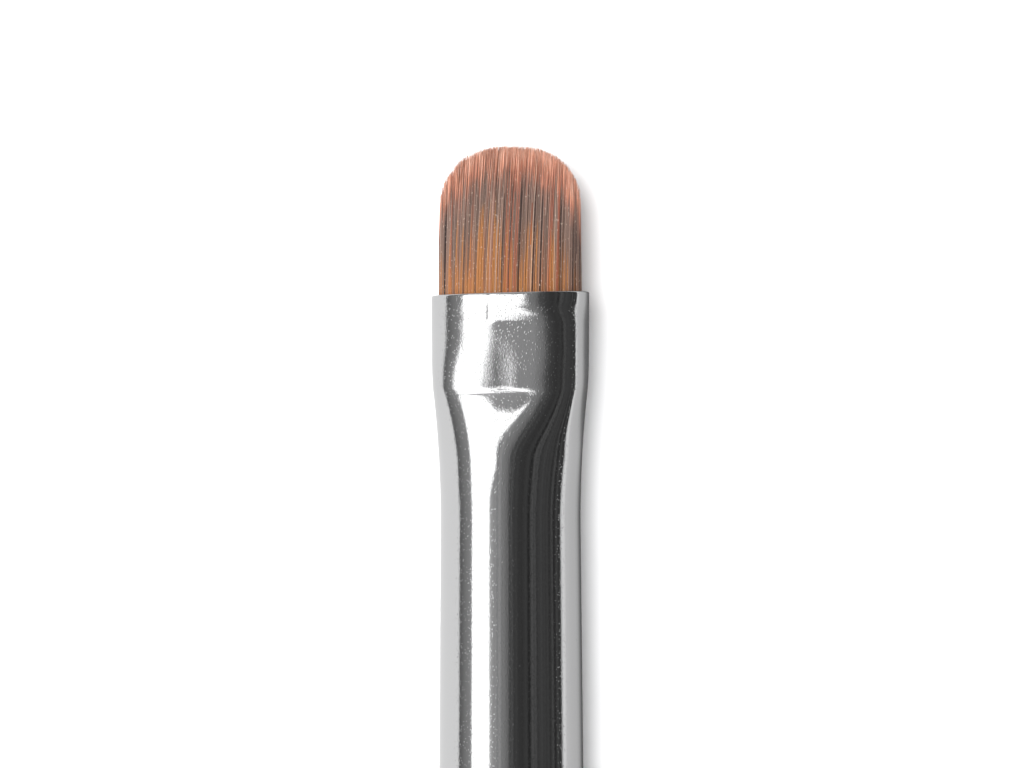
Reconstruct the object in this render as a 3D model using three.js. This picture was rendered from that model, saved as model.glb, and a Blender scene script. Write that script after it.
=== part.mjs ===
// Short filbert brush for model making: an oval tuft of synthetic filaments, bound with thread and set in
// epoxy in a pressed metal ferrule, which is glued and crimped onto a turned wooden handle.
// Millimetres, +Z up. The brush lies along Y with its tuft towards +Y and its belly resting on z = 0.
// Every piece is drawn with the middle of the ferrule's mouth at the origin, so y is the distance in
// front of the mouth, and the group at the end moves them all to their place.
import * as THREE from "three";

const { clamp, degToRad, lerp } = THREE.MathUtils;

// Driving dimensions: the whole brush.
const overallLength = 180;
const facets = 24; // sides of every drawn, turned or moulded piece
const fit = 0.05; // gap between pieces that touch

// Ferrule: a tapered tube, pressed oval at its mouth and crimped twice round the handle.
const ferruleLength = 36;
const wall = 0.36;
const mouthTubeRadius = 3.4; // of the tube before it is pressed
const tubeTaper = 0.0085; // radius gained in each millimetre behind the mouth
const mouthWidth = 8;
const mouthThickness = 5.5;
const creaseThickness = 4.8;
const creaseSquareness = 2.5; // exponent of the superellipse at the crease, where 2 is an ellipse
const pressLength = 4.72; // from the mouth to the crease
const transitionLength = 6.6; // from the crease to where the tube is round
const transitionEase = 1.8;
const rimChamfer = 0.08;
const crimpCount = 2;
const crimpWidth = 1.8;
const crimpDepth = 0.25;
const crimpSpacing = 4;
const rearCrimpInset = 4.5; // from the ferrule's rear edge to the middle of the last crimp

// Handle: its tenon sits in the ferrule, and its belly is the thickest place. Its outline swells evenly
// between the sizes, and keeps each one's direction for a share of the way to the next.
const tenonInset = 3.5; // empty space between the epoxy and the tenon
const tenonChamfer = 0.4;
const tenonGlueThickness = 0.1;
const tenonGlueInset = 0.4; // how far the glue film stops short of each end of the tenon
const shoulderStep = 0.1; // how far the shoulder stands proud of the ferrule
const bellyStep = 0.7; // how far the belly swells beyond the ferrule
const bellyBehindFerrule = 22;
const neckHold = 0.35; // share of the neck, and of the tail, that keeps its direction
const tailRadius = 1.7;
const tailSwell = 0.35; // radius gained over the tail's share
const tailFlatRadius = 0.9;
const tailRound = 1.5;

// Tuft: filaments in bundles, with the stiff heel next to the ferrule and the free part in front of it.
const tuftLength = 7.3; // from the mouth to the middle of the rounded tip
const tipHeight = 3; // how much further the middle reaches than the sides
const tipSquareness = 2.3; // exponent of the tip's superellipse, where 2 is an ellipse
const heelLength = 1.2; // from the mouth to the line that the tuft bends about
const tipThickness = 0.6;
const tuftTaper = 1.2; // power of the taper from heel to tip, where 1 is straight
const bendLimit = 30; // degrees each way
const bundleColumns = 7;
const bundleGap = 0.1; // from each bundle to its neighbours and to the heel
const bundleSteps = [3, 4, 4]; // across, along and through each bundle
const layers = ["upper", "core", "lower"];

// Root of the tuft inside the ferrule, from the crease back.
const epoxyInset = 0.5; // from the crease to the front of the epoxy
const epoxyWall = 0.6;
const bindingInset = 1.2; // from the front of the epoxy to the binding
const bindingTurns = 6;
const threadDiameter = 0.28;
const threadPitch = 0.34;
const threadSides = 5;
const stepsPerTurn = 16;
const rootTail = 1.7; // from the binding to the cut ends of the filaments
const epoxyFloor = 2; // behind the cut ends
const domeRings = 6;

// Places worked out from the dimensions above.
const ferruleRear = -ferruleLength;
const crimpCentres = Array.from(
  { length: crimpCount },
  (_, i) => ferruleRear + rearCrimpInset + i * crimpSpacing,
);
const epoxyFront = -pressLength - epoxyInset;
const halfBinding = (bindingTurns * threadPitch + threadDiameter) / 2;
const bindingY = epoxyFront - bindingInset - halfBinding;
const rootRear = bindingY - halfBinding - rootTail;
const epoxyRear = rootRear - fit - epoxyFloor;
const tenonFront = epoxyRear - tenonInset;
const shoulderY = ferruleRear - fit;
const bellyY = ferruleRear - bellyBehindFerrule;
const tailEnd = tuftLength - overallLength;
const freeShare = Math.cos(degToRad(bendLimit + 1)); // thickness of the free part where it starts

const nickel = new THREE.MeshStandardMaterial({ color: 0xc9cacb, roughness: 0.12, metalness: 1 });
const wood = new THREE.MeshStandardMaterial({ color: 0xb98450, roughness: 0.3, metalness: 0 });
const epoxy = new THREE.MeshStandardMaterial({ color: 0xc9a86a, roughness: 0.25, metalness: 0 });
const thread = new THREE.MeshStandardMaterial({ color: 0xe6dfcf, roughness: 0.9, metalness: 0 });
const filament = new THREE.MeshStandardMaterial({ color: 0xa8745c, roughness: 0.45, metalness: 0 });

// Numbers from one end to the other in equal steps, both ends included.
function along(from, to, steps) {
  return Array.from({ length: steps + 1 }, (_, i) => lerp(from, to, i / steps));
}

// Radius of the tube at y before it is pressed, with its crimps.
function tubeRadius(y) {
  const dips = crimpCentres.map((centre) => {
    const share = Math.abs(y - centre) / (crimpWidth / 2);
    return share < 1 ? (crimpDepth * (1 + Math.cos(Math.PI * share))) / 2 : 0;
  });
  return mouthTubeRadius - tubeTaper * Math.min(y, 0) - Math.max(0, ...dips);
}

// Outline of the tube at y after it is pressed: oval at the mouth, squarest and thinnest at the crease.
function pressedSection(y) {
  if (y >= -pressLength) {
    const share = clamp(-y / pressLength, 0, 1);
    return {
      halfWidth: mouthWidth / 2,
      halfThickness: lerp(mouthThickness, creaseThickness, share) / 2,
      squareness: lerp(2, creaseSquareness, share),
    };
  }
  const share = clamp((-pressLength - y) / transitionLength, 0, 1);
  const eased = 1 - Math.pow(1 - share, transitionEase);
  return {
    halfWidth: lerp(mouthWidth / 2, tubeRadius(y), eased),
    halfThickness: lerp(creaseThickness / 2, tubeRadius(y), eased),
    squareness: lerp(creaseSquareness, 2, eased),
  };
}

// A point of the round tube, or of what is inside it, after pressing. It keeps its share of the radius.
function pressPoint(point) {
  const radius = Math.hypot(point.x, point.z);
  if (radius < 1e-9) return point;
  const { halfWidth, halfThickness, squareness } = pressedSection(point.y);
  const share = radius / tubeRadius(point.y);
  const bend = (value) => Math.sign(value) * Math.pow(Math.abs(value / radius), 2 / squareness);
  return point.set(halfWidth * share * bend(point.x), point.y, halfThickness * share * bend(point.z));
}

// Height of a superellipse of unit size at x from its middle.
function superellipse(x, exponent) {
  return Math.pow(Math.max(0, 1 - Math.pow(Math.abs(x), exponent)), 1 / exponent);
}

// Moves every vertex of a geometry.
function reshape(geometry, move) {
  const position = geometry.getAttribute("position");
  const point = new THREE.Vector3();
  for (let i = 0; i < position.count; i++) {
    const { x, y, z } = move(point.fromBufferAttribute(position, i));
    position.setXYZ(i, x, y, z);
  }
  return geometry;
}

// A round piece from [radius, y] points that start and end on the axis, or close on themselves.
function turned(points) {
  const profile = points.map(([radius, y]) => new THREE.Vector2(radius, y));
  return new THREE.LatheGeometry(profile, facets, Math.PI / facets);
}

// A round sleeve between two radii that follow the tube, at these places from rear to front.
function sleeve(stations, outer, inner) {
  const outside = stations.map((y) => [outer(y), y]);
  const inside = [...stations].reverse().map((y) => [inner(y), y]);
  return [...outside, ...inside, outside[0]];
}

const bellyRadius = tubeRadius(ferruleRear) + bellyStep;
const crimpStations = crimpCentres.flatMap((y) => along(y - crimpWidth / 2, y + crimpWidth / 2, 6));
const transitionStations = along(-pressLength - transitionLength, -pressLength, 8);

// Places from rear to front between two ends, with those of the transition that lie between them.
function stationsBetween(rear, front) {
  return [rear, ...transitionStations.filter((y) => y > rear && y < front), front];
}

function ferruleGeometry() {
  const stations = [ferruleRear, ...crimpStations, ...transitionStations, -pressLength / 2, -rimChamfer];
  const outside = stations.map((y) => [tubeRadius(y), y]);
  const rim = [[tubeRadius(0) - rimChamfer, 0]];
  const inside = [...stations, 0].reverse().map((y) => [tubeRadius(y) - wall, y]);
  return reshape(turned([...outside, ...rim, ...inside, outside[0]]), pressPoint);
}

function tenonRadius(y) {
  return tubeRadius(y) - wall - tenonGlueThickness - 2 * fit;
}

function handleGeometry() {
  const shoulder = tubeRadius(ferruleRear) + shoulderStep;
  const neckLength = shoulderY - bellyY;
  const neck = new THREE.CubicBezierCurve(
    new THREE.Vector2(bellyRadius, bellyY),
    new THREE.Vector2(bellyRadius, bellyY + neckLength * neckHold),
    new THREE.Vector2(lerp(shoulder, bellyRadius, neckHold), shoulderY - neckLength * neckHold),
    new THREE.Vector2(shoulder, shoulderY),
  );
  const tailY = tailEnd + tailRound;
  const tailLength = bellyY - tailY;
  const tail = new THREE.CubicBezierCurve(
    new THREE.Vector2(tailRadius, tailY),
    new THREE.Vector2(tailRadius + tailSwell, tailY + tailLength * neckHold),
    new THREE.Vector2(bellyRadius, bellyY - tailLength * neckHold),
    new THREE.Vector2(bellyRadius, bellyY),
  );
  const end = new THREE.EllipseCurve(
    tailFlatRadius, tailY, tailRadius - tailFlatRadius, tailRound, -Math.PI / 2, 0,
  );
  const outline = [...end.getPoints(4), ...tail.getPoints(14).slice(1), ...neck.getPoints(7).slice(1)];
  const tenon = [shoulderY, ...crimpStations, tenonFront - tenonChamfer].map((y) => [tenonRadius(y), y]);
  return turned([
    [0, tailEnd],
    ...outline.map(({ x, y }) => [x, y]),
    ...tenon,
    [tenonRadius(tenonFront) - tenonChamfer, tenonFront],
    [0, tenonFront],
  ]);
}

function tenonGlueGeometry() {
  const stations = [ferruleRear + tenonGlueInset, ...crimpStations, tenonFront - tenonChamfer - tenonGlueInset];
  const outer = (y) => tubeRadius(y) - wall - fit;
  return turned(sleeve(stations, outer, (y) => outer(y) - tenonGlueThickness));
}

// Half sizes of the tuft, which fills the ferrule's mouth.
const mouthShare = 1 - (wall + fit) / tubeRadius(0);
const tuftHalfWidth = (mouthWidth / 2) * mouthShare;
const tuftHalfThickness = (mouthThickness / 2) * mouthShare;

// Radius of the filament bundle where the epoxy surrounds it, and of the waist that the thread pulls in.
const rootRadius = (y) => tubeRadius(y) - wall - 3 * fit - epoxyWall;
const waistRadius = (y) => rootRadius(y) - threadDiameter;

// The filaments from their cut ends in the epoxy to the front of the heel. The front is domed: it is round
// about the bend line, so that the free part can swing over it.
function rootBundleGeometry() {
  const full = (y) => tubeRadius(y) - wall - fit;
  const waistRear = bindingY - halfBinding - fit;
  const waistFront = bindingY + halfBinding + fit;
  const domeShares = along(0, Math.PI / 2, domeRings).map((angle) => [Math.cos(angle), Math.sin(angle)]);
  const shape = turned([
    [0, rootRear],
    ...stationsBetween(rootRear, waistRear - fit).map((y) => [rootRadius(y), y]),
    ...stationsBetween(waistRear, waistFront).map((y) => [waistRadius(y), y]),
    ...stationsBetween(waistFront + fit, epoxyFront).map((y) => [rootRadius(y), y]),
    ...[-pressLength, -pressLength / 2, 0].map((y) => [full(y), y]),
    ...domeShares.map(([across, ahead]) => [full(0) * across, heelLength + tuftHalfThickness * ahead]),
  ]);
  return reshape(shape, pressPoint);
}

// One thread wound round the waist of the bundle.
class Winding extends THREE.Curve {
  getPoint(t, target = new THREE.Vector3()) {
    const y = bindingY + (t - 0.5) * bindingTurns * threadPitch;
    const angle = t * bindingTurns * 2 * Math.PI;
    const radius = waistRadius(y) + fit + threadDiameter / 2;
    return pressPoint(target.set(radius * Math.sin(angle), y, radius * Math.cos(angle)));
  }
}

function bindingGeometry() {
  const circle = new THREE.Shape(
    Array.from({ length: threadSides }, (_, i) => {
      const angle = (i / threadSides) * 2 * Math.PI;
      return new THREE.Vector2(Math.cos(angle), Math.sin(angle)).multiplyScalar(threadDiameter / 2);
    }),
  );
  const steps = bindingTurns * stepsPerTurn;
  return new THREE.ExtrudeGeometry(circle, { steps, bevelEnabled: false, extrudePath: new Winding() });
}

// The epoxy is a cup that fills the ferrule behind the cut ends and round the bound root.
function epoxyGeometry() {
  const cupFloor = rootRear - fit;
  const outside = stationsBetween(epoxyRear, epoxyFront).map((y) => [tubeRadius(y) - wall - fit, y]);
  const inside = stationsBetween(cupFloor, epoxyFront).map((y) => [rootRadius(y) + 2 * fit, y]);
  return reshape(turned([[0, epoxyRear], ...outside, ...inside.reverse(), [0, cupFloor]]), pressPoint);
}

// One bundle of filaments in front of the bend. u and w run from -1 to 1 across the tuft's width and
// thickness. A unit box is moved to its part of the oval, with a rear face that follows the heel's dome.
function bundleGeometry([u0, u1], [w0, w1]) {
  const box = new THREE.BoxGeometry(1, 1, 1, ...bundleSteps).translate(0.5, 0.5, 0.5);
  return reshape(box, (point) => {
    const u = lerp(u0, u1, point.x);
    const w = lerp(w0, w1, point.z);
    const side = u * Math.sqrt(1 - (w * w) / 2);
    const height = w * Math.sqrt(1 - (u * u) / 2);
    const chord = superellipse(side, 2);
    const rearZ = tuftHalfThickness * freeShare * height;
    const rear = heelLength + Math.sqrt((tuftHalfThickness * chord + bundleGap) ** 2 - rearZ * rearZ);
    const tip = tuftLength - tipHeight * (1 - superellipse(side, tipSquareness));
    const z = lerp(rearZ, (tipThickness / 2) * height, Math.pow(point.y, tuftTaper));
    return point.set(tuftHalfWidth * side, lerp(rear, tip, point.y), z);
  });
}

// The spans of equal parts from -1 to 1, each short of its neighbour by the gap.
function spans(count, halfSize) {
  const gap = bundleGap / halfSize;
  const width = (2 + gap) / count;
  return Array.from({ length: count }, (_, i) => [-1 + i * width, -1 + (i + 1) * width - gap]);
}

function tuftBundles() {
  const columns = spans(bundleColumns, tuftHalfWidth);
  const rows = spans(layers.length, tuftHalfThickness).reverse();
  return layers.flatMap((layer, row) =>
    columns.map((column, i) => [`hair_${layer}_${i + 1}`, bundleGeometry(column, rows[row]), filament]),
  );
}

const brush = new THREE.Group();
for (const [name, geometry, material] of [
  ["ferrule", ferruleGeometry(), nickel],
  ["handle", handleGeometry(), wood],
  ["tenon_glue", tenonGlueGeometry(), epoxy],
  ["epoxy_plug", epoxyGeometry(), epoxy],
  ["binding_thread", bindingGeometry(), thread],
  ["root_bundle", rootBundleGeometry(), filament],
  ...tuftBundles(),
]) {
  const mesh = new THREE.Mesh(geometry, material);
  mesh.name = name;
  brush.add(mesh);
}
brush.position.set(0, overallLength / 2 - tuftLength, bellyRadius * Math.cos(Math.PI / facets));

const part = new THREE.Group();
part.add(brush);
export default part;
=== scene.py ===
"""Looks of the short filbert brush: fine meshes for its ferrule, handle and filaments, their materials,
the studio and the camera. Shapes are worked out in millimetres from the middle of the ferrule's mouth, with
Y towards the tip, and place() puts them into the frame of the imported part, in metres."""
import math

import bpy
import numpy as np
from mathutils import Matrix, Vector


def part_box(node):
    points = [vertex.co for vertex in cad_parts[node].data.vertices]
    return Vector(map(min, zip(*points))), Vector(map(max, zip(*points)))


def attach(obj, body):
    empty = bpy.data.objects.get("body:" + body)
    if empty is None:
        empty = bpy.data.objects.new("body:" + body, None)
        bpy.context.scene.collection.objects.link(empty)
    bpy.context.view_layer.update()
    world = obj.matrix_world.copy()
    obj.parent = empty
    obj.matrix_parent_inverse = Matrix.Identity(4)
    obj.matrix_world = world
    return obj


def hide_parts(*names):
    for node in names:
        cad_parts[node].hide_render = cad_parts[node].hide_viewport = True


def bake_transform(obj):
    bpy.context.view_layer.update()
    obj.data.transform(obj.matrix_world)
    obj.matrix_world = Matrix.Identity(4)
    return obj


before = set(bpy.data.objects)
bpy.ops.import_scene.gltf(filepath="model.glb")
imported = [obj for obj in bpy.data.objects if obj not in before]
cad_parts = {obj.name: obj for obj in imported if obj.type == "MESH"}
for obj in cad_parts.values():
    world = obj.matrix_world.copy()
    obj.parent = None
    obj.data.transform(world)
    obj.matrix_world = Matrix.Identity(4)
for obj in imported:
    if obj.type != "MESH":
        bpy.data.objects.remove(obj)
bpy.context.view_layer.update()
rng = np.random.default_rng(7)
MM = 0.001

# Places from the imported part. The brush lies along Y, with its axis at AXIS_Z and its mouth at MOUTH_Y.
ferrule_lo, ferrule_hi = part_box("ferrule")
MOUTH_Y = ferrule_hi.y
AXIS_Z = (ferrule_lo.z + ferrule_hi.z) / 2
TIP_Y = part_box("hair_core_4")[1].y
TUFT_LENGTH = TIP_Y - MOUTH_Y

# The ferrule's pressed end, in millimetres.
PRESS = 4.72  # from the mouth to the panel's rear edge
TRANSITION = 6.6  # from there to the round tube
WALL = 0.36
RIM = 0.07  # round of the mouth's outer edge
MOUTH_HALF = 4.0  # half width at the mouth
CREASE_HALF = 3.88  # half width at the panel's rear edge
CREASE_HALF_THICKNESS = 2.42
CREST, CREST_RUN = 0.29, 3.3  # rise of the panel towards the mouth
LIP, LIP_RUN = 0.27, 1.42  # fall of the lip, at the mouth
FILLET = (4.43, 4.95)  # the rounded step at the panel's rear edge, from and to
SQUARENESS = 0.48  # what the rear edge's outline has over an ellipse's power of 2
CRIMPED = (3.2, 9.8)  # the stretch with the two crimps, from the ferrule's rear edge

# What the press leaves on the outside, in millimetres across from the middle.
RIGHT_SQUARENESS = 1.1  # more of it on the right shoulder
PANEL_SQUARENESS = 0.9  # and more again along the panel
ASKEW_EDGE, ASKEW_EDGE_RUN = 0.030, 1.4  # slope of the panel's rear edge
ASKEW_MOUTH, ASKEW_MOUTH_RUN = 0.018, 1.3  # slope of the mouth's cut
PANEL_TILT, PANEL_TILT_HALF = 0.016, 2.7
DENT_X, DENT_WIDTH, DENT_DEPTH = 0.16, 0.36, 0.046
GROOVE_X, GROOVE_WIDTH, GROOVE_DEPTH = -0.47, 0.15, 0.036
LINE_X, LINE_HALF, LINE_DEPTH = -1.4, 1.5, 0.005  # a fine line beside the rear edge
LINE_AHEAD, LINE_SLOPE, LINE_WIDTH = 0.22, 0.03, 0.035

# The filaments, in millimetres.
TUFT_CLEARANCE = 0.03  # to the ferrule's inside
PITCH = 0.079
ROW_PITCH = PITCH * 0.88
STRAND_RADIUS = 0.042
STRAND_SIDES = 4
STRAND_START = -0.9  # how far inside the mouth they begin
EDGE_STRANDS = 236  # in the outermost ring
LOCKS = 120
TIP_DROP = 3.0  # from the tip's middle to the tuft's straight sides

CAMERA_ROLL = math.radians(12)  # how far the viewer stands round from square on to the flat side


# ---------------------------------------------------------------- shapes

def smoothstep(a, b, x):
    """0 at a, 1 at b and eased between them. a may be the larger."""
    t = np.clip((np.asarray(x, float) - a) / (b - a), 0, 1)
    return t * t * (3 - 2 * t)


def bell(offset, width, power=2):
    """1 in the middle and near 0 beyond the width. A higher power has a flatter top."""
    return np.exp(-((offset / width) ** power))


def lerp(a, b, share):
    return a + (b - a) * share


def quarter_turn(steps):
    """Angles of a quarter turn in equal steps, without its start."""
    return [k / steps * math.pi / 2 for k in range(1, steps + 1)]


def place(points):
    """Millimetres from the middle of the mouth to the frame's metres."""
    return points * MM + np.array([0, MOUTH_Y, AXIS_Z])


def new_object(name, vertices, faces):
    mesh = bpy.data.meshes.new(name)
    mesh.from_pydata(vertices.tolist(), [], faces)
    mesh.validate()
    mesh.polygons.foreach_set("use_smooth", [True] * len(mesh.polygons))
    mesh.update()
    obj = bpy.data.objects.new(name, mesh)
    bpy.context.scene.collection.objects.link(obj)
    return obj


def skin(name, rings, loop=False, cap=False):
    """A surface over rings of points, each (count, 3). loop joins the last ring to the first."""
    count = len(rings[0])
    vertices = np.concatenate(rings)
    pairs = [(i, i + 1) for i in range(len(rings) - 1)] + ([(len(rings) - 1, 0)] if loop else [])
    faces = [
        (a * count + k, a * count + (k + 1) % count, b * count + (k + 1) % count, b * count + k)
        for a, b in pairs
        for k in range(count)
    ]
    if cap:
        faces.append(tuple(range(count))[::-1])
        faces.append(tuple((len(rings) - 1) * count + k for k in range(count)))
    return new_object(name, vertices, faces)


def node_outline(name):
    """y and radius of every vertex of a turned CAD node, in millimetres."""
    co = np.array([v.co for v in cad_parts[name].data.vertices]).reshape(-1, 3)
    y = np.round((co[:, 1] - MOUTH_Y) / MM, 3)
    r = np.hypot(co[:, 0], co[:, 2] - AXIS_Z) / MM
    return y, r


# ---------------------------------------------------------------- ferrule

outline_y, outline_r = node_outline("ferrule")
LENGTH = -outline_y.min()
round_y = np.array(sorted(y for y in set(outline_y) if y < -PRESS - TRANSITION - 0.01))
round_r = np.array([outline_r[outline_y == y].max() for y in round_y])
FRONT_R = round_r[-1]
TAPER = (round_r[0] - FRONT_R) / (round_y[-1] - round_y[0])

SIDES = 256
ANGLE = np.linspace(0, 2 * math.pi, SIDES, endpoint=False)
SIN, COS = np.sin(ANGLE), np.cos(ANGLE)


def tube_radius(y):
    """Radius of the round tube, with its crimps taken from the CAD rings."""
    straight = FRONT_R + TAPER * (round_y[-1] - y)
    dips = np.interp(y, round_y, round_r - (FRONT_R + TAPER * (round_y[-1] - round_y)))
    return straight + np.where(y < round_y[-1], dips, 0)


def section(y):
    """Half width, half thickness and squareness of the ferrule's outside at y."""
    y = np.asarray(y, float)
    pressed = y >= -PRESS
    tube = tube_radius(y)
    back = np.clip(-y / PRESS, 0, 1)
    behind = np.clip((-PRESS - y) / TRANSITION, 0, 1)
    half_width = np.where(
        pressed,
        MOUTH_HALF - (MOUTH_HALF - CREASE_HALF) * (back + 2 * back**4) / 3,
        tube + (CREASE_HALF - tube) * (1 - behind) ** 1.6,
    )
    crest = CREST * np.sin(math.pi / 2 * np.clip((PRESS + y) / CREST_RUN, 0, 1))
    lip = LIP * np.clip((LIP_RUN + y) / LIP_RUN, 0, 1) ** 1.3
    # From the fillet on the tube swells back to its full height, fast at first.
    turn = np.clip((-FILLET[0] - y) / (FILLET[1] - FILLET[0]), 0, 1)
    run = (FILLET[1] - FILLET[0]) * turn**2 / 2 + np.clip(-FILLET[1] - y, 0, None)
    whole_run = PRESS + TRANSITION - sum(FILLET) / 2
    swell = 1 - (1 - np.clip(run / whole_run, 0, 1)) ** 2.5
    half_thickness = CREASE_HALF_THICKNESS + crest - lip + (tube - CREASE_HALF_THICKNESS) * swell
    near_edge = np.where(
        pressed, smoothstep(2.0, PRESS, -y), (1 - np.clip((-PRESS - y) / 3.6, 0, 1)) ** 2.2
    )
    return half_width, half_thickness, 2 + SQUARENESS * near_edge


def outline_ring(a, b, square):
    """A superellipse with half sizes a and b."""
    x = a * np.sign(SIN) * np.abs(SIN) ** (2 / square)
    z = b * np.sign(COS) * np.abs(COS) ** (2 / square)
    return x, z


def right_shoulder(y):
    """How much squarer the panel's right shoulder is than the left one."""
    whole = smoothstep(-PRESS - 3.4, -PRESS, y) * lerp(1, 0.75, smoothstep(-1.5, 0, y))
    panel = smoothstep(-PRESS + 0.1, -PRESS + 2.2, y) * (1 - smoothstep(-1.7, -0.5, y))
    return float(RIGHT_SQUARENESS * whole + PANEL_SQUARENESS * panel)


def panel_relief(x, y):
    """Height of the panel's tilt, less its dent, the groove in its lip and a fine line."""
    on_panel = smoothstep(-PRESS - 0.4, -PRESS + 0.2, y) * (1 - smoothstep(-1.2, -0.5, y))
    tilt = PANEL_TILT * x * bell(x, PANEL_TILT_HALF, 6) * on_panel
    along_dent = smoothstep(-1.9, -3.6, y) * smoothstep(-PRESS - 0.1, -PRESS + 0.2, y)
    dent = DENT_DEPTH * bell(x - DENT_X, DENT_WIDTH) * along_dent
    groove = GROOVE_DEPTH * bell(x - GROOVE_X, GROOVE_WIDTH) * smoothstep(-1.55, -1.3, y)
    line_y = -PRESS - LINE_AHEAD + LINE_SLOPE * x
    line = LINE_DEPTH * bell(y - line_y, LINE_WIDTH) * bell(x - LINE_X, LINE_HALF, 4)
    return tilt - dent - groove - line


def ferrule_ring(y, inset=0.0):
    """The ferrule's outline at y. The press leaves its marks on the outside only."""
    a, b, square = (float(v) for v in section(y))
    x, z = outline_ring(a - inset, b - inset, square)
    if inset < WALL / 2:
        x_right, z_right = outline_ring(a - inset, b - inset, square + right_shoulder(y))
        upper = COS > 0
        right_top = (SIN > 0) & upper
        x, z = np.where(right_top, x_right, x), np.where(right_top, z_right, z)
        askew = ASKEW_EDGE * x * bell(y + PRESS, ASKEW_EDGE_RUN)
        z = z * np.where(upper, section(y - askew)[1] / b, 1)
        z = z + np.where(upper, panel_relief(x, y), 0)
    return np.column_stack([x, y + ASKEW_MOUTH * x * bell(y, ASKEW_MOUTH_RUN), z])


def ferrule_rings():
    """Rings along the outside from the rear, round the rim and back along the inside."""
    stretches = [
        (-LENGTH, -LENGTH + CRIMPED[0], 5),
        (-LENGTH + CRIMPED[0], -LENGTH + CRIMPED[1], 67),
        (-LENGTH + CRIMPED[1], -PRESS - TRANSITION, 24),
        (-PRESS - TRANSITION, -PRESS - 0.5, 70),
        (-PRESS - 0.5, -PRESS + 0.5, 50),
        (-PRESS + 0.5, -0.1, 70),
    ]
    outside = np.unique(np.concatenate([np.linspace(*stretch) for stretch in stretches]).round(4))
    rings = [ferrule_ring(y) for y in outside]
    for turn in quarter_turn(6):
        rings.append(ferrule_ring(-RIM * (1 - math.sin(turn)), RIM * (1 - math.cos(turn))))
    inner_rim = RIM * 0.6
    for turn in quarter_turn(4):
        rings.append(ferrule_ring(-inner_rim * (1 - math.cos(turn)), WALL - inner_rim * (1 - math.sin(turn))))
    inside = [-1.0, -2.5, -PRESS]
    inside += list(np.linspace(-PRESS - 0.6, -PRESS - TRANSITION, 12))
    inside += list(np.linspace(-LENGTH + CRIMPED[1], -LENGTH + CRIMPED[0], 45))
    inside += [-LENGTH]
    return rings + [ferrule_ring(y, WALL) for y in inside]


ferrule = skin("ferrule_shell", [place(ring) for ring in ferrule_rings()], loop=True)
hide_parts("ferrule")
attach(ferrule, "brush")

# ---------------------------------------------------------------- handle

TAIL_ROUND = 1.6  # length of the rounded end of the tail
TAIL_FLAT = 0.86  # radius of the flat there
SHOULDER_ROUND = 0.12
SHOULDER_Y = -LENGTH - 0.05  # where the wood steps down to its tenon

handle_y, handle_r = node_outline("handle")
handle_stations = np.array(sorted(set(handle_y)))
largest = np.array([handle_r[handle_y == y].round(3).max() for y in handle_stations])
smallest = np.array([handle_r[handle_y == y].round(3).min() for y in handle_stations])
TAIL_Y = handle_stations[0]
turned = (handle_stations > TAIL_Y + TAIL_ROUND) & (handle_stations <= SHOULDER_Y + 0.02)
fit_y, fit_r = handle_stations[turned], largest[turned]


def smooth_outline(y):
    """Monotone cubic through the CAD outline of the turned wood."""
    h = np.diff(fit_y)
    d = np.diff(fit_r) / h
    same_way = d[1:] * d[:-1] > 0
    middle = np.where(same_way, 2 * d[1:] * d[:-1] / (d[1:] + d[:-1] + 1e-12), 0)
    slope = np.concatenate([[d[0]], middle, [d[-1]]])
    i = np.clip(np.searchsorted(fit_y, y) - 1, 0, len(h) - 1)
    t = (y - fit_y[i]) / h[i]
    return (
        (2 * t**3 - 3 * t**2 + 1) * fit_r[i]
        + (t**3 - 2 * t**2 + t) * h[i] * slope[i]
        + (-2 * t**3 + 3 * t**2) * fit_r[i + 1]
        + (t**3 - t**2) * h[i] * slope[i + 1]
    )


def round_ring(y, r, sides=112):
    a = np.linspace(0, 2 * math.pi, sides, endpoint=False)
    return place(np.column_stack([r * np.sin(a), np.full(sides, y), r * np.cos(a)]))


def handle_rings():
    """Rings from the tail's flat over its rounded end, the body and the shoulder to the tenon's end."""
    body_start = fit_y[0]
    start_r = float(smooth_outline(np.array([body_start]))[0])
    shoulder_r = float(smooth_outline(np.array([SHOULDER_Y]))[0])
    rings = [round_ring(TAIL_Y, 0.04), round_ring(TAIL_Y, 0.5), round_ring(TAIL_Y + 0.02, TAIL_FLAT)]
    for turn in quarter_turn(13)[:-1]:
        y = body_start - (body_start - TAIL_Y) * math.cos(turn)
        rings.append(round_ring(y, TAIL_FLAT + (start_r - TAIL_FLAT) * math.sin(turn)))
    body_y = np.linspace(body_start, SHOULDER_Y - SHOULDER_ROUND, 200)
    rings += [round_ring(y, r) for y, r in zip(body_y, smooth_outline(body_y))]
    for turn in quarter_turn(5):
        y = SHOULDER_Y - SHOULDER_ROUND * (1 - math.sin(turn))
        rings.append(round_ring(y, shoulder_r - SHOULDER_ROUND * (1 - math.cos(turn))))
    on_tenon = handle_stations > SHOULDER_Y - 0.02
    at_step = handle_stations <= SHOULDER_Y + 0.02
    tenon_r = np.where(at_step, smallest, largest)
    tenon = [(y, r) for y, r in zip(handle_stations[on_tenon], tenon_r[on_tenon]) if r > 0.5]
    rings += [round_ring(y, r) for y, r in tenon]
    return rings + [round_ring(tenon[-1][0], 0.04)]


handle = skin("handle_turned", handle_rings(), cap=True)
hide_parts("handle")
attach(handle, "brush")

# ---------------------------------------------------------------- tuft

TUFT_MM = TUFT_LENGTH / MM
TUFT_A = MOUTH_HALF - WALL - TUFT_CLEARANCE
TUFT_B = float(section(-1e-6)[1]) - WALL - TUFT_CLEARANCE
TIP_HALF_THICKNESS = 0.30


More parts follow.
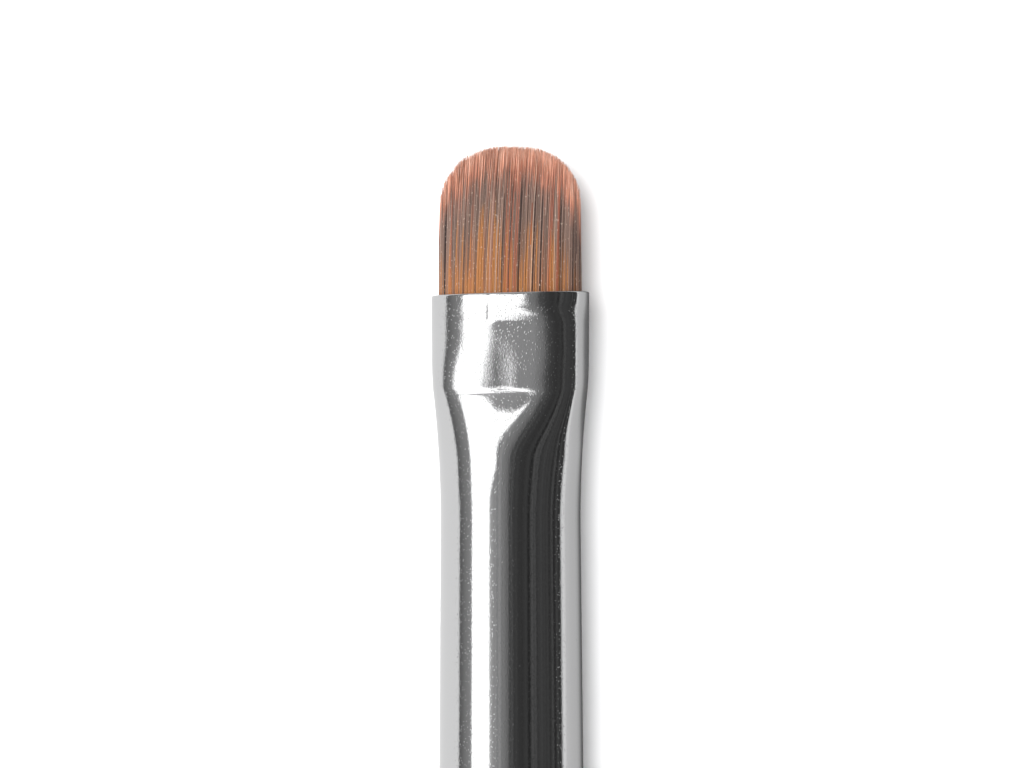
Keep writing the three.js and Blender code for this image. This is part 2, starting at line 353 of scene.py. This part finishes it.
def tip_line(share):
    """How far the tuft reaches at a share of its half width. The right side is a little fuller."""
    edge = np.clip(1 - np.abs(share) ** 2.15, 0, 1) ** (1 / 2.2)
    fuller = 0.07 * bell(share - 0.66, 0.26)
    return TUFT_MM + 0.15 + fuller - TIP_DROP * (1 - edge)


def strand_roots():
    """Positions of the filaments over the mouth, as shares of its half sizes."""
    found = []
    rows = int(TUFT_B * 2 / ROW_PITCH) + 2
    for j in range(-rows, rows + 1):
        for i in range(-64, 65):
            found.append(((i + 0.5 * (j % 2)) * PITCH, j * ROW_PITCH))
    found = np.array(found) + rng.normal(0, PITCH * 0.12, (len(found), 2))
    u, w = found[:, 0] / (TUFT_A - 0.06), found[:, 1] / (TUFT_B - 0.06)
    keep = u * u + w * w < 0.985
    turn = np.linspace(0, 2 * math.pi, EDGE_STRANDS, endpoint=False) + rng.normal(0, 0.004, EDGE_STRANDS)
    # Evenly spaced round the edge by arc length.
    fine = np.linspace(0, 2 * math.pi, 4000)
    step = np.hypot(np.cos(fine) * TUFT_A, -np.sin(fine) * TUFT_B)
    arc = np.concatenate([[0], np.cumsum(step[:-1])])
    even = np.interp(turn / (2 * math.pi) * arc[-1], arc, fine)
    u = np.concatenate([u[keep], np.sin(even) * 0.995])
    w = np.concatenate([w[keep], np.cos(even) * 0.995])
    return u, w


root_u, root_w = strand_roots()
COUNT = len(root_u)

# Filaments gather in locks. Each leans towards its lock's middle, and ends a little short.
locks = rng.uniform(-1, 1, (LOCKS, 2))
lock_dx = (root_u[:, None] - locks[None, :, 0]) * TUFT_A
lock_dz = (root_w[:, None] - locks[None, :, 1]) * TUFT_B * 1.6
lock = (lock_dx**2 + lock_dz**2).argmin(1)
lock_lean = rng.normal(0, 0.035, LOCKS)
lock_short = np.abs(rng.normal(0, 0.13, LOCKS))
pull = 0.10 + 0.10 * rng.random(COUNT)
lean = lock_lean[lock] + rng.normal(0, 0.022, COUNT)
own_short = np.abs(rng.normal(0, 0.23, COUNT)) * (0.35 + 0.65 * (rng.random(COUNT) < 0.7))
# Painted shade: one in ten strands on the right side is picked to be darkened, as if in shadow.
shaded_right = (root_u > 0.66) & (rng.random(COUNT) < 0.10)
wave = rng.uniform(0, 2 * math.pi, COUNT)
thick = rng.uniform(0.9, 1.12, COUNT) * STRAND_RADIUS
shade, hue = rng.random(COUNT), rng.random(COUNT)
# Painted shade: the picked right-side strands get near-zero shade numbers, which the filament material turns
# near black.
shade[shaded_right] *= 0.08
reach = tip_line(root_u) - (lock_short[lock] + own_short)


def strand_points(t):
    """Centres and radii of every strand at shares t of their length, from inside the mouth to the tip."""
    y = STRAND_START + (reach[:, None] - STRAND_START) * t[None, :]
    ahead = np.clip(y / TUFT_MM, 0, 1)
    along = np.clip(y / reach[:, None], 0, 1)
    lock_x = (locks[lock, 0] * TUFT_A)[:, None]
    x = (root_u * TUFT_A)[:, None] * np.ones_like(y)
    x = x + (lock_x - x) * pull[:, None] * along**2 * 0.55 + lean[:, None] * along**1.5
    x = x + 0.010 * np.sin(wave[:, None] + 5 * along) * along
    flat = 1 - (1 - TIP_HALF_THICKNESS / TUFT_B) * ahead**1.35
    z = (root_w * TUFT_B)[:, None] * flat + 0.018 * np.sin(wave[:, None] * 1.7 + 4 * along) * along
    limit = TUFT_A + 0.02
    radius = thick[:, None] * (1 - 0.82 * smoothstep(0.55, 1.0, along))
    return np.clip(x, -limit, limit), y, z, radius


# Rings close together where the tuft bends, and where it thins to its tips.
shares = np.array([0, 0.11, 0.17, 0.23, 0.29, 0.35, 0.41, 0.48, 0.66, 0.80, 0.90, 0.96, 1.0])
strand_x, strand_y, strand_z, strand_r = strand_points(shares)


def strand_map(n, k, s):
    """UV corners of n strands with k rings of s points: one upright strip to each side of each strand."""
    w = 1 / (n * s)
    strip = (np.arange(n)[:, None, None] * s + np.arange(s)[None, None, :]) / (n * s)
    strip = np.broadcast_to(strip, (n, k - 1, s))
    low = np.broadcast_to((np.arange(k - 1) / k)[None, :, None], (n, k - 1, s))
    left, right, high = strip + 0.1 * w, strip + 0.9 * w, low + 1 / k
    corners = [np.stack(pair, -1) for pair in ((left, low), (right, low), (right, high), (left, high))]
    sides = np.stack(corners, 3).reshape(n, (k - 1) * s, 4, 2)
    end = np.array([[0.1, 0.0], [0.9, 0.0], [0.9, 0.4], [0.1, 0.4]]) * np.array([w, 1 / k])
    base = (np.arange(n) * s / (n * s))[:, None, None, None]
    ends = np.stack([end + [0, (k - 1) / k], end + [0, (k - 0.5) / k]])[None]
    ends = ends + np.concatenate([base, np.zeros_like(base)], -1)
    return np.concatenate([sides, ends], 1).reshape(-1)


def strands(name, members):
    """One mesh of the given strands, with the shade, hue and distance from its tip of each."""
    k, s, n = len(shares), STRAND_SIDES, len(members)
    turn = np.arange(s) / s * 2 * math.pi + math.pi / 4
    x = strand_x[members][:, :, None] + strand_r[members][:, :, None] * np.sin(turn)
    z = strand_z[members][:, :, None] + strand_r[members][:, :, None] * np.cos(turn)
    y = np.repeat(strand_y[members][:, :, None], s, 2)
    points = place(np.stack([x, y, z], -1).reshape(-1, 3))
    a = np.arange(s)
    ring = np.stack([a, (a + 1) % s, (a + 1) % s + s, a + s], -1)
    tube = (ring[None] + np.arange(k - 1)[:, None, None] * s).reshape(-1, 4)
    ends = np.array([a[::-1], a + (k - 1) * s])
    one = np.concatenate([tube, ends])
    faces = (one[None] + (np.arange(n) * k * s)[:, None, None]).reshape(-1, 4)
    obj = new_object(name, points, faces.tolist())
    per_point = {
        "strand_shade": np.repeat(shade[members], k * s),
        "strand_hue": np.repeat(hue[members], k * s),
        "from_tip": np.repeat((reach[members][:, None] - strand_y[members]).reshape(-1), s),
    }
    for key, values in per_point.items():
        made = obj.data.attributes.new(key, "FLOAT", "POINT")
        made.data.foreach_set("value", values.astype(np.float32))
    uv = obj.data.uv_layers.new(name="OFBake")
    uv.data.foreach_set("uv", strand_map(n, k, s).astype(np.float32))
    return obj


hair_pieces = []
column = np.clip(((root_u + 1) / 2 * 7).astype(int), 0, 6)
layer = np.where(root_w > 0.32, 0, np.where(root_w < -0.32, 2, 1))
for layer_number, layer_name in enumerate(["upper", "core", "lower"]):
    for column_number in range(7):
        members = np.flatnonzero((layer == layer_number) & (column == column_number))
        place_name = f"{layer_name}_{column_number + 1}"
        obj = strands("filaments_" + place_name, members)
        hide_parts("hair_" + place_name)
        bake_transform(obj)
        hair_pieces.append(obj)

# ---------------------------------------------------------------- bound root

ROOT_FRONT = -0.75
ROOT_CLEARANCE = 0.06  # to the ferrule's inside
THREAD_DEPTH = 0.25  # how far the thread pulls the root in
THREAD_REAR, THREAD_FRONT = (-8.95, -8.7), (-6.5, -6.2)  # where the waist starts and ends
GROOVES = 112  # round the root, for the filaments


def root_rings():
    """Rings from the root's rear, in the epoxy, to just behind the mouth."""
    rings = []
    rear = (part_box("root_bundle")[0].y - MOUTH_Y) / MM
    for y in np.linspace(rear, ROOT_FRONT, 60):
        a, b, square = (float(v) for v in section(y))
        ease = 1.0 - 0.23 * float(smoothstep(-PRESS, -PRESS - 0.6, y))
        waist = THREAD_DEPTH * float(smoothstep(*THREAD_REAR, y) * (1 - smoothstep(*THREAD_FRONT, y)))
        inset = WALL + ROOT_CLEARANCE
        x, z = outline_ring((a - inset) * ease - waist, (b - inset) * ease - waist, square)
        groove = 1 + 0.004 * np.sin(ANGLE * GROOVES)
        rings.append(place(np.column_stack([x * groove, np.full(SIDES, y), z * groove])))
    middle = rings[-1].mean(0)
    rings.append(middle + (rings[-1] - middle) * 0.96 + np.array([0, 0.05 * MM, 0]))
    return rings


root = skin("filament_root", root_rings(), cap=True)
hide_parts("root_bundle")
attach(root, "brush")

# ---------------------------------------------------------------- shader helpers

def material(name):
    made = bpy.data.materials.new(name)
    made.use_nodes = True
    return made, made.node_tree, made.node_tree.nodes["Principled BSDF"]


def linear(rgb):
    """A colour of 0 to 255 in each channel, as the linear values of a shader."""
    shares = [c / 255 for c in rgb]
    return tuple(c / 12.92 if c <= 0.04045 else ((c + 0.055) / 1.055) ** 2.4 for c in shares) + (1.0,)


def feed(tree, socket, value):
    """Links a node's output to a socket, or sets the socket to a plain value."""
    if hasattr(value, "links"):
        tree.links.new(value, socket)
    else:
        socket.default_value = value


def maths(tree, operation, a, b=None):
    made = tree.nodes.new("ShaderNodeMath")
    made.operation = operation
    feed(tree, made.inputs[0], a)
    if b is not None:
        feed(tree, made.inputs[1], b)
    return made.outputs[0]


def plus(tree, a, b):
    return maths(tree, "ADD", a, b)


def minus(tree, a, b):
    return maths(tree, "SUBTRACT", a, b)


def times(tree, a, b):
    return maths(tree, "MULTIPLY", a, b)


def map_range(tree, value, a, b, to_a=0.0, to_b=1.0, smooth=True):
    made = tree.nodes.new("ShaderNodeMapRange")
    made.interpolation_type = "SMOOTHSTEP" if smooth else "LINEAR"
    tree.links.new(value, made.inputs["Value"])
    for key, v in (("From Min", a), ("From Max", b), ("To Min", to_a), ("To Max", to_b)):
        made.inputs[key].default_value = v
    return made.outputs[0]


def ramp(tree, value, stops):
    made = tree.nodes.new("ShaderNodeValToRGB")
    tree.links.new(value, made.inputs[0])
    elements = made.color_ramp.elements
    while len(elements) < len(stops):
        elements.new(0.5)
    for element, (position, colour) in zip(elements, stops):
        element.position = position
        element.color = colour
    return made.outputs[0]


def mix(tree, share, a, b, blend="MIX"):
    made = tree.nodes.new("ShaderNodeMix")
    made.data_type = "RGBA"
    made.blend_type = blend
    # Inputs 6 and 7 are the node's two colours, and output 2 is its colour.
    for key, value in ((0, share), (6, a), (7, b)):
        feed(tree, made.inputs[key], value)
    return made.outputs[2]


def object_coordinates(tree, scale=(1, 1, 1), offset=(0, 0, 0)):
    """Object coordinates in millimetres from the middle of the mouth, scaled and then moved."""
    made = tree.nodes.new("ShaderNodeMapping")
    origin = (0, MOUTH_Y, AXIS_Z)
    made.inputs["Scale"].default_value = [s / MM for s in scale]
    made.inputs["Location"].default_value = [-s * p / MM + o for s, p, o in zip(scale, origin, offset)]
    tree.links.new(tree.nodes.new("ShaderNodeTexCoord").outputs["Object"], made.inputs["Vector"])
    return made.outputs[0]


def separate(tree, vector):
    made = tree.nodes.new("ShaderNodeSeparateXYZ")
    tree.links.new(vector, made.inputs[0])
    return made.outputs


def noise(tree, vector, scale, detail, roughness):
    made = tree.nodes.new("ShaderNodeTexNoise")
    made.inputs["Scale"].default_value = scale
    made.inputs["Detail"].default_value = detail
    made.inputs["Roughness"].default_value = roughness
    tree.links.new(vector, made.inputs["Vector"])
    return made.outputs["Fac"]


def cell_distance(tree, vector, scale):
    made = tree.nodes.new("ShaderNodeTexVoronoi")
    made.inputs["Scale"].default_value = scale
    tree.links.new(vector, made.inputs["Vector"])
    return made.outputs["Distance"]


def bump(tree, height, distance, strength=1.0, normal=None):
    made = tree.nodes.new("ShaderNodeBump")
    made.inputs["Distance"].default_value = distance
    made.inputs["Strength"].default_value = strength
    tree.links.new(height, made.inputs["Height"])
    if normal is not None:
        tree.links.new(normal, made.inputs["Normal"])
    return made.outputs[0]


def attribute(tree, name):
    made = tree.nodes.new("ShaderNodeAttribute")
    made.attribute_name = name
    return made.outputs["Fac"]


# ---------------------------------------------------------------- materials

def nickel_material():
    """Bright nickel: fine lines along the tube, an orange peel where it was pressed, and small pits."""
    made, tree, shader = material("nickel")
    co = object_coordinates(tree)
    y = separate(tree, co)["Y"]
    ahead_of_edge = map_range(tree, y, -PRESS - 0.9, -PRESS + 0.1)
    behind_mouth = minus(tree, 1.0, map_range(tree, y, -0.9, -0.1))
    panel = times(tree, ahead_of_edge, behind_mouth)
    lines = noise(tree, object_coordinates(tree, (4.5, 0.03, 4.5)), 1.0, 3.0, 0.6)
    grain = noise(tree, object_coordinates(tree, (1, 0.35, 1)), 16.0, 3.0, 0.6)
    peel = noise(tree, co, 11.0, 3.0, 0.65)
    # The peel is coarsest in the dent.
    from_dent = tree.nodes.new("ShaderNodeVectorMath")
    from_dent.operation = "LENGTH"
    tree.links.new(object_coordinates(tree, (1, 0.62, 0), (-0.1, 2.2, 0)), from_dent.inputs[0])
    in_dent = minus(tree, 1.0, map_range(tree, from_dent.outputs["Value"], 0.35, 1.15))
    coarse = plus(tree, 0.45, times(tree, in_dent, 1.1))
    rough_there = plus(tree, 0.06, times(tree, panel, coarse))
    specks = map_range(tree, cell_distance(tree, co, 7.5), 0.10, 0.28, 1.0, 0.0)
    specks = times(tree, specks, maths(tree, "MAXIMUM", rough_there, 0.3))
    pits = map_range(tree, cell_distance(tree, co, 1.7), 0.035, 0.075)
    fine = bump(tree, lines, 0.0016 * MM)
    fine = bump(tree, grain, 0.0016 * MM, normal=fine)
    fine = bump(tree, times(tree, peel, rough_there), 0.008 * MM, normal=fine)
    fine = bump(tree, specks, 0.008 * MM, normal=fine)
    fine = bump(tree, pits, 0.004 * MM, normal=fine)
    shader.inputs["Metallic"].default_value = 1.0
    shader.inputs["Base Color"].default_value = (0.66, 0.66, 0.665, 1)
    tree.links.new(map_range(tree, grain, 0.3, 0.7, 0.02, 0.055, smooth=False), shader.inputs["Roughness"])
    tree.links.new(fine, shader.inputs["Normal"])
    return made


def wood_material():
    """Pale hardwood under lacquer, with its grain along the handle."""
    made, tree, shader = material("lacquered_wood")
    streak = noise(tree, object_coordinates(tree, (1, 0.05, 1)), 2.2, 6.0, 0.62)
    pore = noise(tree, object_coordinates(tree, (1, 0.06, 1)), 11.0, 3.0, 0.6)
    warp = noise(tree, object_coordinates(tree, (1, 0.02, 1)), 0.5, 2.0, 0.5)
    year_rings = tree.nodes.new("ShaderNodeTexWave")
    year_rings.wave_type = "BANDS"
    year_rings.bands_direction = "Z"
    year_rings.inputs["Scale"].default_value = 0.42
    year_rings.inputs["Distortion"].default_value = 3.4
    year_rings.inputs["Detail"].default_value = 2.0
    year_rings.inputs["Detail Scale"].default_value = 0.5
    tree.links.new(object_coordinates(tree, (1, 0.035, 1)), year_rings.inputs["Vector"])
    slow = plus(tree, times(tree, year_rings.outputs["Fac"], 0.26), times(tree, warp, 0.14))
    figure = plus(tree, times(tree, streak, 0.62), slow)
    stops = [
        (0.25, linear((150, 98, 52))),
        (0.42, linear((190, 134, 80))),
        (0.58, linear((214, 163, 106))),
        (0.78, linear((230, 188, 134))),
    ]
    in_pore = map_range(tree, pore, 0.30, 0.42, 0.55, 0.0)
    colour = mix(tree, in_pore, ramp(tree, figure, stops), linear((120, 76, 42)))
    tree.links.new(colour, shader.inputs["Base Color"])
    tree.links.new(map_range(tree, streak, 0.3, 0.7, 0.34, 0.48, smooth=False), shader.inputs["Roughness"])
    tree.links.new(bump(tree, pore, 0.012 * MM, 0.5), shader.inputs["Normal"])
    shader.inputs["Coat Weight"].default_value = 0.8
    shader.inputs["Coat Roughness"].default_value = 0.06
    return made


def filament_material():
    """Golden at the root, grey-brown along the middle and salmon at the tips, with odd strands. The darkest
    strands are painted shade between locks, and whitish flecks are painted highlights.
    """
    made, tree, shader = material("filament")
    tip = attribute(tree, "from_tip")
    strand_shade = attribute(tree, "strand_shade")
    strand_hue = attribute(tree, "strand_hue")
    cloud = noise(tree, object_coordinates(tree, (1, 0.16, 1)), 2.4, 3.0, 0.6)
    glint_noise = noise(tree, object_coordinates(tree, (1, 0.45, 1)), 14.0, 2.0, 0.5)
    moved = plus(tree, tip, times(tree, minus(tree, cloud, 0.5), 2.6))
    moved = plus(tree, moved, times(tree, minus(tree, strand_hue, 0.5), 1.5))
    stops = [
        (0.00, linear((228, 178, 156))),
        (0.05, linear((208, 146, 120))),
        (0.12, linear((172, 115, 96))),
        (0.18, linear((140, 105, 92))),
        (0.27, linear((116, 95, 86))),
        (0.45, linear((116, 95, 85))),
        (0.58, linear((122, 94, 80))),
        (0.74, linear((129, 94, 74))),
        (1.00, linear((130, 93, 67))),
    ]
    colour = ramp(tree, map_range(tree, moved, 0.0, 8.0, smooth=False), stops)
    # FRACT gives each strand further numbers of its own.
    value = maths(tree, "FRACT", times(tree, strand_shade, 13.0))
    value = map_range(tree, value, 0.0, 1.0, 0.62, 1.32, smooth=False)
    colour = mix(tree, 1.0, colour, value, "MULTIPLY")
    gold = plus(tree, strand_hue, times(tree, minus(tree, tip, 5.2), 0.16))
    gold = map_range(tree, plus(tree, gold, times(tree, cloud, 0.3)), 0.66, 0.98, 0.0, 0.85)
    colour = mix(tree, gold, colour, linear((160, 106, 60)))
    light = map_range(tree, strand_shade, 0.90, 1.0, 0.0, 0.28)
    colour = mix(tree, light, colour, linear((214, 190, 172)))
    # Painted shade: the strands with the lowest shade numbers go near black away from their tips, standing
    # for the shadow in the gaps between locks.
    gap_shade = minus(tree, 1.0, map_range(tree, strand_shade, 0.02, 0.09))
    gap_shade = times(tree, gap_shade, map_range(tree, tip, 1.0, 2.6, 0.0, 0.85))
    colour = mix(tree, gap_shade, colour, linear((38, 28, 28)))
    red = map_range(tree, maths(tree, "FRACT", times(tree, strand_shade, 7.0)), 0.90, 0.98, 0.0, 0.5)
    colour = mix(tree, red, colour, linear((150, 70, 42)))
    # Painted highlight: whitish glints are mixed into the colour where this noise is high. The same noise
    # also varies the roughness.
    painted_glint = map_range(tree, glint_noise, 0.62, 0.78, 0.0, 0.55)
    colour = mix(tree, painted_glint, colour, linear((226, 208, 194)))
    tree.links.new(colour, shader.inputs["Base Color"])
    tree.links.new(map_range(tree, glint_noise, 0.3, 0.7, 0.32, 0.5, smooth=False), shader.inputs["Roughness"])
    shader.inputs["Specular IOR Level"].default_value = 0.45
    return made


def root_material():
    """The bound root has no strands of its own, so streaks stand for them."""
    made, tree, shader = material("filament_root")
    streak = noise(tree, object_coordinates(tree, (1, 0.05, 1)), 9.0, 3.0, 0.6)
    colour = ramp(tree, streak, [(0.3, linear((92, 58, 34))), (0.7, linear((196, 136, 82)))])
    tree.links.new(colour, shader.inputs["Base Color"])
    tree.links.new(map_range(tree, streak, 0.3, 0.7, 0.4, 0.6), shader.inputs["Roughness"])
    return made


def epoxy_material():
    made, tree, shader = material("epoxy")
    cloud = noise(tree, object_coordinates(tree), 1.8, 4.0, 0.55)
    colour = ramp(tree, cloud, [(0.3, linear((176, 138, 78))), (0.7, linear((216, 184, 122)))])
    tree.links.new(colour, shader.inputs["Base Color"])
    tree.links.new(map_range(tree, cloud, 0.3, 0.7, 0.16, 0.3), shader.inputs["Roughness"])
    shader.inputs["Coat Weight"].default_value = 0.5
    return made


def thread_material():
    made, tree, shader = material("thread")
    twist = tree.nodes.new("ShaderNodeTexWave")
    twist.bands_direction = "DIAGONAL"
    twist.inputs["Scale"].default_value = 3.2
    twist.inputs["Distortion"].default_value = 1.5
    tree.links.new(object_coordinates(tree), twist.inputs["Vector"])
    stops = [(0.2, linear((196, 184, 160))), (0.8, linear((238, 230, 212)))]
    tree.links.new(ramp(tree, twist.outputs["Fac"], stops), shader.inputs["Base Color"])
    tree.links.new(bump(tree, twist.outputs["Fac"], 0.02 * MM), shader.inputs["Normal"])
    shader.inputs["Roughness"].default_value = 0.85
    return made


def paper_material():
    made, _, shader = material("paper")
    shader.inputs["Base Color"].default_value = (0.93, 0.93, 0.935, 1)
    shader.inputs["Roughness"].default_value = 0.9
    shader.inputs["Specular IOR Level"].default_value = 0.1
    return made


ferrule.data.materials.append(nickel_material())
handle.data.materials.append(wood_material())
hair = filament_material()
for obj in hair_pieces:
    obj.data.materials.append(hair)
root.data.materials.append(root_material())
epoxy = epoxy_material()
cad_looks = {"epoxy_plug": epoxy, "tenon_glue": epoxy, "binding_thread": thread_material()}
for name, look in cad_looks.items():
    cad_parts[name].data.materials.clear()
    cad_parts[name].data.materials.append(look)

# ---------------------------------------------------------------- stage

bpy.ops.mesh.primitive_plane_add(size=3.0, location=(0, 0, 0))
floor = bpy.context.object
floor.name = "floor"
floor.visible_glossy = False
floor.data.materials.append(paper_material())

# The studio as the polished metal shows it, in degrees round the brush from the viewer's own upright, with
# the light there: table to the left, soft light, dark room to the right, then table again.
SURROUNDINGS = [
    (-180, 0.90),
    (-93, 0.92),
    (-91.5, 0.12),
    (-80, 0.23),
    (-66, 0.35),
    (-37, 0.62),
    (-28, 0.36),
    (-14, 0.26),
    (-5, 0.16),
    (3, 0.052),
    (28, 0.048),
    (30, 0.014),
    (33, 0.085),
    (41, 0.060),
    (70, 0.054),
    (89, 0.045),
    (91.5, 0.85),
    (96, 0.95),
    (101, 0.72),
    (112, 0.66),
    (130, 0.60),
    (141, 0.48),
    (150, 0.25),
    (160, 0.12),
]
BRIGHTEST = 4.0  # the world's strength: its colours are shares of this
SOFT_BOX = 1.9
BOX_LEFT, BOX_REAR = -2.25, -3.0  # edges of the soft box, at one unit above the brush
BOX_EDGE = 0.012  # half the blur of its right and top edges


def grey(value):
    share = value / BRIGHTEST
    return (share, share, share, 1)


def soft_box(tree, px, py, up):
    """1 inside the soft box. px and py are where a direction meets a plane one unit above the brush."""
    right_edge = plus(
        tree, map_range(tree, py, 0.0, 0.25, -0.70, -0.46), map_range(tree, py, 0.34, 0.60, 0.0, 0.17)
    )
    further_left = maths(tree, "MAXIMUM", minus(tree, -0.42, px), 0.0)
    top_edge = plus(tree, 0.62, times(tree, further_left, 0.72))
    inside_right = map_range(tree, minus(tree, right_edge, px), -BOX_EDGE, BOX_EDGE)
    inside_top = map_range(tree, minus(tree, top_edge, py), -BOX_EDGE, BOX_EDGE)
    inside_left = map_range(tree, px, BOX_LEFT - 0.05, BOX_LEFT + 0.05)
    inside_rear = map_range(tree, py, BOX_REAR, BOX_REAR + 0.1)
    inside = times(tree, times(tree, inside_right, inside_left), times(tree, inside_top, inside_rear))
    return times(tree, inside, maths(tree, "GREATER_THAN", up, 0.03))


def dim_lines(tree, turn):
    """A factor that breaks the dark room up into fine lines along the brush."""
    lines = tree.nodes.new("ShaderNodeTexNoise")
    lines.noise_dimensions = "1D"
    lines.inputs["Scale"].default_value = 11.0
    lines.inputs["Detail"].default_value = 3.0
    lines.inputs["Roughness"].default_value = 0.7
    tree.links.new(turn, lines.inputs["W"])
    from_left = map_range(tree, turn, math.radians(-40), math.radians(-10))
    to_right = map_range(tree, turn, math.radians(88), math.radians(80))
    contrast = times(tree, minus(tree, lines.outputs["Fac"], 0.48), 3.4)
    return plus(tree, 1.0, times(tree, contrast, times(tree, from_left, to_right)))


def studio_world():
    world = bpy.data.worlds.new("studio")
    world.use_nodes = True
    tree = world.node_tree
    background = tree.nodes["Background"]
    dx, dy, dz = separate(tree, tree.nodes.new("ShaderNodeTexCoord").outputs["Generated"])
    c, s = math.cos(CAMERA_ROLL), math.sin(CAMERA_ROLL)
    right = minus(tree, times(tree, dx, c), times(tree, dz, s))
    up = plus(tree, times(tree, dx, s), times(tree, dz, c))
    turn = maths(tree, "ARCTAN2", right, up)
    share_of_turn = map_range(tree, turn, -math.pi, math.pi, smooth=False)
    bands = ramp(tree, share_of_turn, [((angle + 180) / 360, grey(v)) for angle, v in SURROUNDINGS])
    bands = mix(tree, 1.0, bands, dim_lines(tree, turn), "MULTIPLY")
    up_safe = maths(tree, "MAXIMUM", up, 0.02)
    px = maths(tree, "DIVIDE", right, up_safe)
    py = maths(tree, "DIVIDE", dy, up_safe)
    lit = mix(tree, soft_box(tree, px, py, up), bands, grey(SOFT_BOX))
    tree.links.new(lit, background.inputs["Color"])
    background.inputs["Strength"].default_value = BRIGHTEST
    return world


scene = bpy.context.scene
scene.world = studio_world()

# ---------------------------------------------------------------- lights and camera

VIEW = Vector((math.sin(CAMERA_ROLL), 0, math.cos(CAMERA_ROLL)))  # from the brush to the viewer
SIDE = Vector((math.cos(CAMERA_ROLL), 0, -math.sin(CAMERA_ROLL)))  # to the viewer's right
KEY_ANGLE = math.radians(11)  # to the left of the viewer
DISTANCE = 0.125
VIEW_WIDTH = 0.0512  # of the picture at that distance
LEAN_IN_PICTURE = math.radians(0.16)
AIM_BEHIND_MOUTH, AIM_ACROSS = 4.50 * MM, 0.09 * MM


def area_light(name, direction, distance, size, energy):
    """A round lamp that looks at the ferrule's front, and that the metal doesn't show."""
    light = bpy.data.lights.new(name, "AREA")
    light.shape = "DISK"
    light.size = size
    light.energy = energy
    obj = bpy.data.objects.new(name, light)
    obj.location = Vector((0, MOUTH_Y - 5 * MM, AXIS_Z)) + direction.normalized() * distance
    obj.rotation_mode = "QUATERNION"
    obj.rotation_quaternion = direction.to_track_quat("Z", "Y")
    obj.visible_camera = False
    obj.visible_glossy = False
    scene.collection.objects.link(obj)


key_direction = VIEW * math.cos(KEY_ANGLE) - SIDE * math.sin(KEY_ANGLE) + Vector((0, 0.06, 0))
area_light("key", key_direction, 0.6, 0.24, 3.1)
area_light("fill", VIEW + Vector((0, -0.2, 0)) - SIDE * 0.05, 0.7, 0.8, 3.6)

camera_data = bpy.data.cameras.new("camera")
camera_data.sensor_width = 36
camera_data.lens = 36 * DISTANCE / VIEW_WIDTH
camera_data.clip_start = 0.005
camera = bpy.data.objects.new("camera", camera_data)
scene.collection.objects.link(camera)
scene.camera = camera
upright = Vector((0, 1, 0))
top = (upright * math.cos(LEAN_IN_PICTURE) + SIDE * math.sin(LEAN_IN_PICTURE)).normalized()
across = top.cross(VIEW).normalized()
stand = Vector((0, MOUTH_Y - AIM_BEHIND_MOUTH, AXIS_Z)) + SIDE * AIM_ACROSS + VIEW * DISTANCE
camera.matrix_world = Matrix.Translation(stand) @ Matrix((across, top, VIEW)).transposed().to_4x4()

scene.view_settings.view_transform = "Standard"
scene.view_settings.look = "None"
